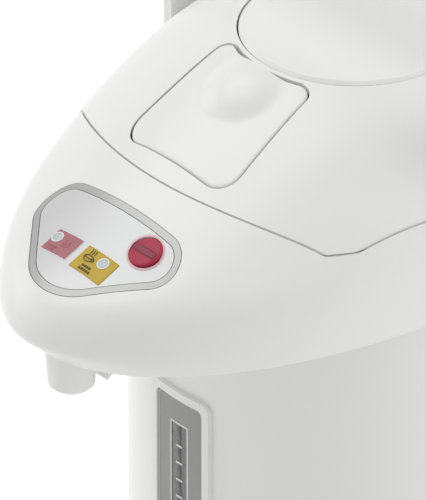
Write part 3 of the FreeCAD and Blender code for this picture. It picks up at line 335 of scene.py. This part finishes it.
# Control panel: printed labels, lamp rings, and the button's halo, all film on the pearl overlay
panelSlope = math.radians(26.6)
panel = {
    "middle": (0, -155),
    "fit": (5, 30),                   # degree and span of the surface fit
    "film": 0.12,                     # each print's thickness
    "lift": 0.05,                     # first print above the fitted surface
    "pinkCorners": ((-20.4, -163.2), (-3.6, -163.2), (-3.6, -151.2), (-20.4, -151.2)),
    "yellowCorners": ((0.1, -164.0), (20.1, -164.0), (20.1, -151.7), (0.1, -151.7)),
    "labelBorder": 0.4,
    "cornerRadii": (0.5, 0.4, 0.6),   # pink border, pink label, yellow label
    "lamps": ((-17.3, -155.4), (13.3, -155.4)),
    "lampRing": (2.35, 3.0),          # inner and outer radius
    "lampProud": 0.3,
    "lampCone": 0.05,                 # fall of the lamp's face per mm from its middle
    "button": (24.7, -141.0),
    "haloRadii": (7.95, 9.0),
    "squeeze": math.cos(panelSlope),  # a round thing on the slope, seen in plan
}
panelSurface = smoothFit("control_overlay", lambda x, y, z: True, panel["fit"][0], panel["middle"],
                         panel["fit"][1])
film = panel["film"]
lift = panel["lift"]
printLift = lift + 2 * film


def onPanel(lift):
    return lambda x, y: panelSurface(x, y) + lift


def addPrint(name, skin, ink, body="pot", slot="overlay"):
    return addPiece(name, *skin, inks[ink], body, slot, solidify=film)


def inset(corners, by):
    middle = sum((Vector(c) for c in corners), Vector((0, 0))) / len(corners)
    return [(x + math.copysign(by, middle.x - x), y + math.copysign(by, middle.y - y)) for x, y in corners]


def label(name, corners, ink, radius, lift):
    outline = roundedOutline(corners, [radius] * 4)
    middle = sum(outline, Vector((0, 0))) / len(outline)
    addPrint(name, fan(outline, middle, np.linspace(0.05, 1, 12), onPanel(lift)), ink)


def stroke(name, path, width, ink):
    # one printed line along a path of x, y points
    path = [Vector(p) for p in path]
    height = onPanel(printLift)
    points, faces = [], []
    for k, p in enumerate(path):
        ahead = (path[min(k + 1, len(path) - 1)] - path[max(k - 1, 0)]).normalized()
        side = Vector((-ahead.y, ahead.x)) * width / 2
        for q in (p + side, p - side):
            points.append((q.x, q.y, height(q.x, q.y)))
        if k:
            faces.append((2 * k - 2, 2 * k - 1, 2 * k + 1, 2 * k))
    addPrint(name, (points, faces), ink)


borderRadius, pinkRadius, yellowRadius = panel["cornerRadii"]
label("boilLabelBorder", panel["pinkCorners"], "whiteInk", borderRadius, lift)
label("boilLabel", inset(panel["pinkCorners"], panel["labelBorder"]), "pinkInk", pinkRadius, lift + film)
label("warmLabel", panel["yellowCorners"], "yellowInk", yellowRadius, lift)

inner, outer = panel["lampRing"]
for index, spot in enumerate(panel["lamps"]):
    ring = fan(circle(spot, outer, 64, panel["squeeze"]), spot, np.linspace(inner / outer, 1, 5),
               onPanel(printLift))
    addPrint("lampRing_%d" % (index + 1), ring, "whiteInk")
    face = fan(circle(spot, inner, 48, panel["squeeze"]), spot, np.linspace(0.06, 1, 8),
               lambda x, y, spot=spot: (panelSurface(x, y) + panel["lampProud"]
                                        - panel["lampCone"] * math.dist((x, y), spot)))
    addPiece("lampFace_%d" % (index + 1), *face, finishes["lamp"], "pot", "lamp", solidify=film)

inner, outer = panel["haloRadii"]
halo = fan(circle(panel["button"], outer, 72, panel["squeeze"]), panel["button"],
           np.linspace(inner / outer, 1, 4), onPanel(lift))
addPrint("buttonHalo", halo, "haloInk")
print("thermo pot: panel prints")

# Printed pictograms: a cup with steam on the yellow label, a bubbling flask on the pink one, plain bars
# where the words are
cup = {
    "middle": (5.1, -156.2),
    "rim": (2.5, 0.75),               # half axes of the rim
    "deep": 2.3,
    "bowlPower": 0.7,                 # below 1 makes the bowl fuller
    "gripOut": 0.1,
    "gripDown": 0.8,
    "grip": (0.9, 0.8),               # half axes of the grip
    "line": 0.42,
    "steamPitch": 1.3,
    "steamFoot": 1.4,
    "steamTall": 2.4,
    "steamWave": 0.25,
    "steamLine": 0.32,
}
flask = {
    "middle": (-9.9, -156.4),
    "radius": 1.9,
    "sweep": (2.1, 7.3),              # radians
    "line": 0.4,
    "bubbles": ((-10.6, -156.6), (-9.4, -155.9), (-9.9, -157.3)),
    "bubbleRadius": 0.38,
}
bars = {
    "warm": ((5.3, 11.4, -160.6), (5.0, 12.4, -162.4)),      # left, right, y
    "warmDash": 1.0,
    "warmPitch": 1.45,
    "warmSpare": 0.9,                 # no dash starts nearer than this to the right end
    "warmLine": 1.05,
    "boil": ((-17.8, -12.6, -160.0), (-17.4, -13.2, -161.4)),
    "boilLine": 0.8,
}
cx, cy = cup["middle"]
rimX, rimY = cup["rim"]
gripX, gripY = cup["grip"]
cupLines = (
    [(cx + rimX * math.cos(a), cy + rimY * math.sin(a)) for a in np.linspace(0, 2 * math.pi, 26)],
    [(cx + rimX * math.cos(a), cy - cup["deep"] * abs(math.sin(a)) ** cup["bowlPower"])
     for a in np.linspace(math.pi, 2 * math.pi, 18)],
    [(cx + rimX + cup["gripOut"] + gripX * math.sin(a), cy - cup["gripDown"] + gripY * math.cos(a))
     for a in np.linspace(0, math.pi, 9)],
)
for index, line in enumerate(cupLines):
    stroke("cupPrint_%d" % (index + 1), line, cup["line"], "darkInk")
for index in range(3):
    x = cx + (index - 1) * cup["steamPitch"]
    wisp = [(x + cup["steamWave"] * math.sin(4 * t), cy + cup["steamFoot"] + cup["steamTall"] * t)
            for t in np.linspace(0, 1, 8)]
    stroke("steamPrint_%d" % (index + 1), wisp, cup["steamLine"], "darkInk")
for index, (left, right, y) in enumerate(bars["warm"]):
    for k, x in enumerate(np.arange(left, right - bars["warmSpare"], bars["warmPitch"])):
        stroke("warmBar_%d_%d" % (index + 1, k + 1), [(x, y), (x + bars["warmDash"], y)],
               bars["warmLine"], "darkInk")
fx, fy = flask["middle"]
bulb = [(fx + flask["radius"] * math.cos(a), fy + flask["radius"] * math.sin(a))
        for a in np.linspace(*flask["sweep"], 22)]
stroke("boilPrint_1", bulb, flask["line"], "roseInk")
for index, spot in enumerate(flask["bubbles"]):
    dot = fan(circle(spot, flask["bubbleRadius"], 16), spot, (0.1, 1), onPanel(printLift))
    addPrint("boilDot_%d" % (index + 1), dot, "roseInk")
for index, (left, right, y) in enumerate(bars["boil"]):
    stroke("boilBar_%d" % (index + 1), [(left, y), (right, y)], bars["boilLine"], "roseInk")


# Dispense button: a soft crimson cap, crowned, with one printed band across it
squareX = Vector((1, 0, 0))
squareUp = Vector((0, -math.sin(panelSlope), math.cos(panelSlope)))
squareY = squareUp.cross(squareX)
cap = {
    "middle": Vector((24.7, -141.42, 295.56)),   # centre of the cap's flat top
    "radius": 7.7,
    "tall": 5.0,
    "roll": 0.8,
    "crown": 0.5,
    "hub": 0.4,                       # radius of the small face in the middle
    "count": 64,
    "bandHalfWidth": 1.9,
    "bandTaper": 0.15,
    "bandMargin": 0.3,
    "bandLift": 0.05,
}
capRadius, capRoll = cap["radius"], cap["roll"]


def onCap(x, y, z):
    return cap["middle"] + squareX * x + squareY * y + squareUp * z


def crownAt(r):
    return cap["crown"] * (1 - (r / capRadius) ** 2)


profile = [(r, crownAt(r)) for r in np.linspace(cap["hub"], capRadius - capRoll, 8)]
shoulder = profile[-1][1]
profile += [(capRadius - capRoll * (1 - math.sin(a)), shoulder - capRoll * (1 - math.cos(a)))
            for a in np.radians((22, 45, 67, 90))]
profile += [(capRadius, -cap["tall"]), (cap["hub"], -cap["tall"])]
around = np.linspace(0, 2 * math.pi, cap["count"] + 1)[:-1]
points = [onCap(r * math.cos(a), r * math.sin(a), z) for r, z in profile for a in around]
faces = ringFaces(len(profile), cap["count"]) + capFaces(len(profile), cap["count"])
addPiece("buttonCap", points, faces, finishes["red"], "dispense_button", "red", ["dispense_button"])

bandHalf = capRadius - capRoll - cap["bandMargin"]
bandPoints = []
for x in np.linspace(-bandHalf, bandHalf, 19):
    for row in np.linspace(-1, 1, 5):
        y = row * cap["bandHalfWidth"] * (1 - cap["bandTaper"] * (x / bandHalf) ** 2)
        bandPoints.append(onCap(x, y, cap["bandLift"] + crownAt(math.hypot(x, y))))
bandFaces = [(a, d, c, b) for a, b, c, d in stripFaces(19, 5)]
addPrint("buttonBand", (bandPoints, bandFaces), "wineInk", "dispense_button", "red")
print("thermo pot: button and pictograms")


# Release lever: the tile flush with the lid, its thumb dome rising smoothly out of it, a rolled edge
lever = {
    "corners": ((-34, -105), (34, -105), (29, -50), (-29, -50)),
    "radii": (10, 10, 5, 5),
    "middle": (0, -78),
    "fit": (4, 32),                   # degree and span of the surface fit
    "fitRear": -56,                   # vertices behind this are the seam's, not the tile's
    "fitFoot": 300,
    "thick": 3.0,
    "roll": 0.9,
    "dome": (0, -66),
    "domeRadius": 17.0,
    "domeRise": 5.0,
    "domeMargin": 1.5,
    "domeBlend": 2.2,
    "axle": (-92, 314),               # y, z
    "axleRadii": (1.62, 4.0),
    "axleHalf": 32.2,
    "webX": 28,
    "webHalf": (2, 3),
    "webFoot": 2,                     # above the axle's middle
    "finger": (0, -62, 4, 2, 298.4),  # x, y, half widths, foot
    "sunk": 1,                        # webs and finger end this far under the skin
}
domeX, domeY = lever["dome"]


def besideDome(x, y, z):
    clear = math.dist((x, y), lever["dome"]) > lever["domeRadius"] + lever["domeMargin"]
    return z > lever["fitFoot"] and clear and y < lever["fitRear"]


tileSurface = smoothFit("release_lever", besideDome, lever["fit"][0], lever["middle"], lever["fit"][1])
wellEdge = min(math.hypot(v.co.x, v.co.y) / mm for v in nodes["release_lever"].data.vertices)
ballRadius = (lever["domeRadius"] ** 2 + lever["domeRise"] ** 2) / (2 * lever["domeRise"])
ball = Vector((domeX, domeY, tileSurface(domeX, domeY))) - squareUp * (ballRadius - lever["domeRise"])


def leverTop(x, y):
    base = tileSurface(x, y)
    under = ballRadius ** 2 - (x - ball.x) ** 2 - (y - ball.y) ** 2
    if under <= 0:
        return base
    crown = ball.z + math.sqrt(under)
    share = max(lever["domeBlend"] - abs(base - crown), 0) / lever["domeBlend"]
    return max(base, crown) + share * share * lever["domeBlend"] / 4


def slab(outline, centre, top, thick, roll):
    # a closed plate: skin, rolled edge, wall and underside; outline runs anticlockwise
    centre = Vector(centre)
    rings = [(roll, share, 0.0) for share in np.linspace(0.03, 1, 30)]
    rings += [(roll * (1 - math.sin(a)), 1, roll * (1 - math.cos(a))) for a in np.radians((30, 60, 90))]
    rings += [(0, 1, thick), (0, 0.7, thick), (0, 0.35, thick), (0, 0.05, thick)]
    points = []
    for pull, share, drop in rings:
        for edge in outline:
            p = centre.lerp(edge + (centre - edge).normalized() * pull, share)
            points.append((p.x, p.y, top(p.x, p.y) - drop))
    return points, ringFaces(len(rings), len(outline)) + capFaces(len(rings), len(outline))


def post(x, y, halfX, halfY, foot):
    # an upright bar, its head just under the lever's skin
    points = [(x + i * halfX, y + j * halfY, foot) for i, j in ((-1, -1), (1, -1), (1, 1), (-1, 1))]
    points += [(px, py, leverTop(px, py) - lever["sunk"]) for px, py, _ in points]
    faces = [(3, 2, 1, 0), (4, 5, 6, 7), (0, 1, 5, 4), (1, 2, 6, 5), (2, 3, 7, 6), (3, 0, 4, 7)]
    return points, faces


def pipeAcross(y, z, inner, outer, half, count=40):
    # a tube along X
    rings = ((outer, -half), (outer, half), (inner, half), (inner, -half))
    points = [(x, y + r * math.cos(2 * math.pi * k / count), z + r * math.sin(2 * math.pi * k / count))
              for r, x in rings for k in range(count)]
    faces = []
    for ring in range(4):
        for k in range(count):
            a, b = ring * count + k, ring * count + (k + 1) % count
            c, d = (ring + 1) % 4 * count + (k + 1) % count, (ring + 1) % 4 * count + k
            faces.append((a, b, c, d))
    return points, faces


leverOutline = [p * max(1, wellEdge / p.length)
                for p in roundedOutline(lever["corners"], lever["radii"], 1.0)]
addPiece("leverTile", *slab(leverOutline, lever["middle"], leverTop, lever["thick"], lever["roll"]),
         finishes["white_abs"], "release_lever", "white_abs", ["release_lever"])
axleY, axleZ = lever["axle"]
innards = [pipeAcross(axleY, axleZ, *lever["axleRadii"], lever["axleHalf"])]
for side in (-1, 1):
    innards.append(post(side * lever["webX"], axleY, *lever["webHalf"], axleZ + lever["webFoot"]))
innards.append(post(*lever["finger"]))
leverFrame = addPiece("leverFrame", *joined(innards), finishes["white_abs"], "release_lever", "white_abs")
leverFrame.data.shade_flat()
print("thermo pot: release lever")


# Water gauge: pale keyline round the label, white window outline, level strip and marks, round the front

gauge = {
    "label": (15.0, 64.2, 192.8, 3.4),    # half width, low, high, corner
    "window": (5.5, 77.0, 180.0),         # half width, low, high
    "windowMargin": 0.35,
    "windowCorner": 0.4,
    "printLift": 0.03,
    "keyline": 0.9,
    "windowLine": 0.75,
    "stripHalf": 1.15,
    "stripEnds": (0.4, 0.6),
    "stripTop": 1,                        # below the window's top
    "markHalf": 2.1,
    "markThick": 0.95,
    "markTop": 168.6,
    "markPitch": 8.75,
    "markLift": 0.1,                      # above the strip
    "marks": 10,
    "column": 1.5,                        # width of a facet round the body
    "leastCorner": 0.15,
    "outlineStep": 400,                   # so long that straight sides get no points of their own
}


def outerRadius(name):
    return max(math.hypot(v.co.x, v.co.y) for v in nodes[name].data.vertices) / mm


def wrapped(name, loops, radius, ink, slot):
    # a print on the body's front: loops are rows of x, z points of one length, joined into strips
    points = [(x, -math.sqrt(radius ** 2 - x * x), z) for row in loops for x, z in row]
    addPrint(name, (points, stripFaces(len(loops), len(loops[0]))), ink, "pot", slot)


def bar(name, half, low, high, radius, ink, slot):
    columns = np.linspace(-half, half, 2 + int(2 * half / gauge["column"]))
    wrapped(name, [[(x, z) for x in columns] for z in (low, high)], radius, ink, slot)


def hoop(name, halfWidth, low, high, corner, width, radius, ink, slot):
    # a closed line with rounded corners, drawn just inside the given rectangle
    def run(by):
        corners = ((-halfWidth + by, low + by), (halfWidth - by, low + by),
                   (halfWidth - by, high - by), (-halfWidth + by, high - by))
        radii = [max(corner - by, gauge["leastCorner"])] * 4
        points = [(p.x, p.y) for p in roundedOutline(corners, radii, gauge["outlineStep"])]
        return points + points[:1]
    inner, outer = run(width), run(0)
    dense = [[], []]
    for k in range(len(outer) - 1):
        steps = max(1, int(abs(outer[k + 1][0] - outer[k][0]) / gauge["column"]))
        for j in range(steps):
            for row, line in zip(dense, (inner, outer)):
                row.append(tuple(Vector(line[k]).lerp(Vector(line[k + 1]), j / steps)))
    for row in dense:
        row.append(row[0])
    wrapped(name, dense, radius, ink, slot)


onScale = outerRadius("gauge_scale") + gauge["printLift"]
onLens = outerRadius("gauge_lens") + gauge["printLift"]
halfWindow, windowLow, windowHigh = gauge["window"]
margin = gauge["windowMargin"]
hoop("gaugeKeyline", *gauge["label"], gauge["keyline"], onScale, "paleInk", "gauge_grey")
hoop("gaugeWindowLine", halfWindow + margin, windowLow - margin, windowHigh + margin,
     gauge["windowCorner"], gauge["windowLine"], onScale, "whiteInk", "gauge_grey")
stripLow, stripHigh = gauge["stripEnds"]
halfMark = gauge["markThick"] / 2
for index in range(gauge["marks"]):
    z = gauge["markTop"] - index * gauge["markPitch"]
    high = z + gauge["markPitch"] - gauge["markThick"] if index else windowHigh - gauge["stripTop"]
    bar("gaugeStrip_%d" % (index + 1), gauge["stripHalf"], z + stripLow, high - stripHigh,
        onLens, "stripInk", "clear")
    bar("gaugeMark_%d" % (index + 1), gauge["markHalf"], z - halfMark, z + halfMark,
        onLens + gauge["markLift"], "whiteInk", "clear")
print("thermo pot: gauge prints")

# Stage: a pale floor that keeps the shadow, and an even white room
studio = {
    "white": linearColour("FFFFFF"),
    "roomLight": 0.6,
    "backdrop": 1.0,                  # what camera, gloss and glass see of the room
    "paperGlow": 0.35,                # what they see of the paper, besides the light on it
    "floorRadius": 2500,
    "lamps": (                        # name, place in m, aim in m, size in m, watts
        ("topSoftbox", (-0.9, -0.5, 2.2), (0, 0, 0.25), 1.8, 14),
        ("leftSoftbox", (-2.0, -1.1, 0.9), (0, 0, 0.2), 1.4, 5),
        ("rightSoftbox", (1.6, 1.4, 0.9), (0, 0, 0.2), 1.4, 14),
    ),
}
for name, place, aim, width, watts in studio["lamps"]:
    light = bpy.data.lights.new(name, "AREA")
    light.shape, light.size, light.energy = "DISK", width, watts
    lamp = bpy.data.objects.new(name, light)
    lamp.location = place
    lamp.rotation_euler = (Vector(aim) - Vector(place)).to_track_quat("-Z", "Y").to_euler()
    scene.collection.objects.link(lamp)


def seenRays(tree):
    # 1 for a ray from the camera, off a gloss or through glass, 0 for one that only lights
    path = addNode(tree, "LightPath")
    links = {0: (path, "Is Camera Ray"), 1: (path, "Is Glossy Ray")}
    seen = addNode(tree, "Math", None, links, operation="MAXIMUM")
    links = {0: (seen, 0), 1: (path, "Is Transmission Ray")}
    return addNode(tree, "Math", None, links, operation="MAXIMUM")


room = bpy.data.worlds.new("whiteRoom")
scene.world = room
room.use_nodes = True
tree = room.node_tree
tree.nodes.clear()
seen = seenRays(tree)
lit = addNode(tree, "Background", {"Color": studio["white"], "Strength": studio["roomLight"]})
shown = addNode(tree, "Background", {"Color": studio["white"], "Strength": studio["backdrop"]})
both = addNode(tree, "MixShader", None, {0: (seen, 0), 1: (lit, 0), 2: (shown, 0)})
addNode(tree, "OutputWorld", None, {"Surface": (both, 0)})

# matt white paper sweep: its own white shows to the camera, the pot's shadow stays on it
paper = newFinish("matt paper", "F4F4F4", 0.9)
tree = paper.node_tree
glow = addNode(tree, "Math", {1: studio["paperGlow"]}, {0: (seenRays(tree), 0)}, operation="MULTIPLY")
shader = tree.nodes["Principled BSDF"]
shader.inputs["Emission Color"].default_value = studio["white"]
tree.links.new(glow.outputs[0], shader.inputs["Emission Strength"])
rim = circle((0, 0), studio["floorRadius"], 96)
floorPoints, floorFaces = fan(rim, (0, 0), (0.1, 0.3, 0.6, 1.0), lambda x, y: 0.0)
floorMesh = bpy.data.meshes.new("floor")
floorMesh.from_pydata([[c * mm for c in p] for p in floorPoints], [], floorFaces)
floorMesh.materials.append(paper)
floor = bpy.data.objects.new("floor", floorMesh)
scene.collection.objects.link(floor)
floor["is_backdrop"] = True
print("thermo pot: stage and lights")

low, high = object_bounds()
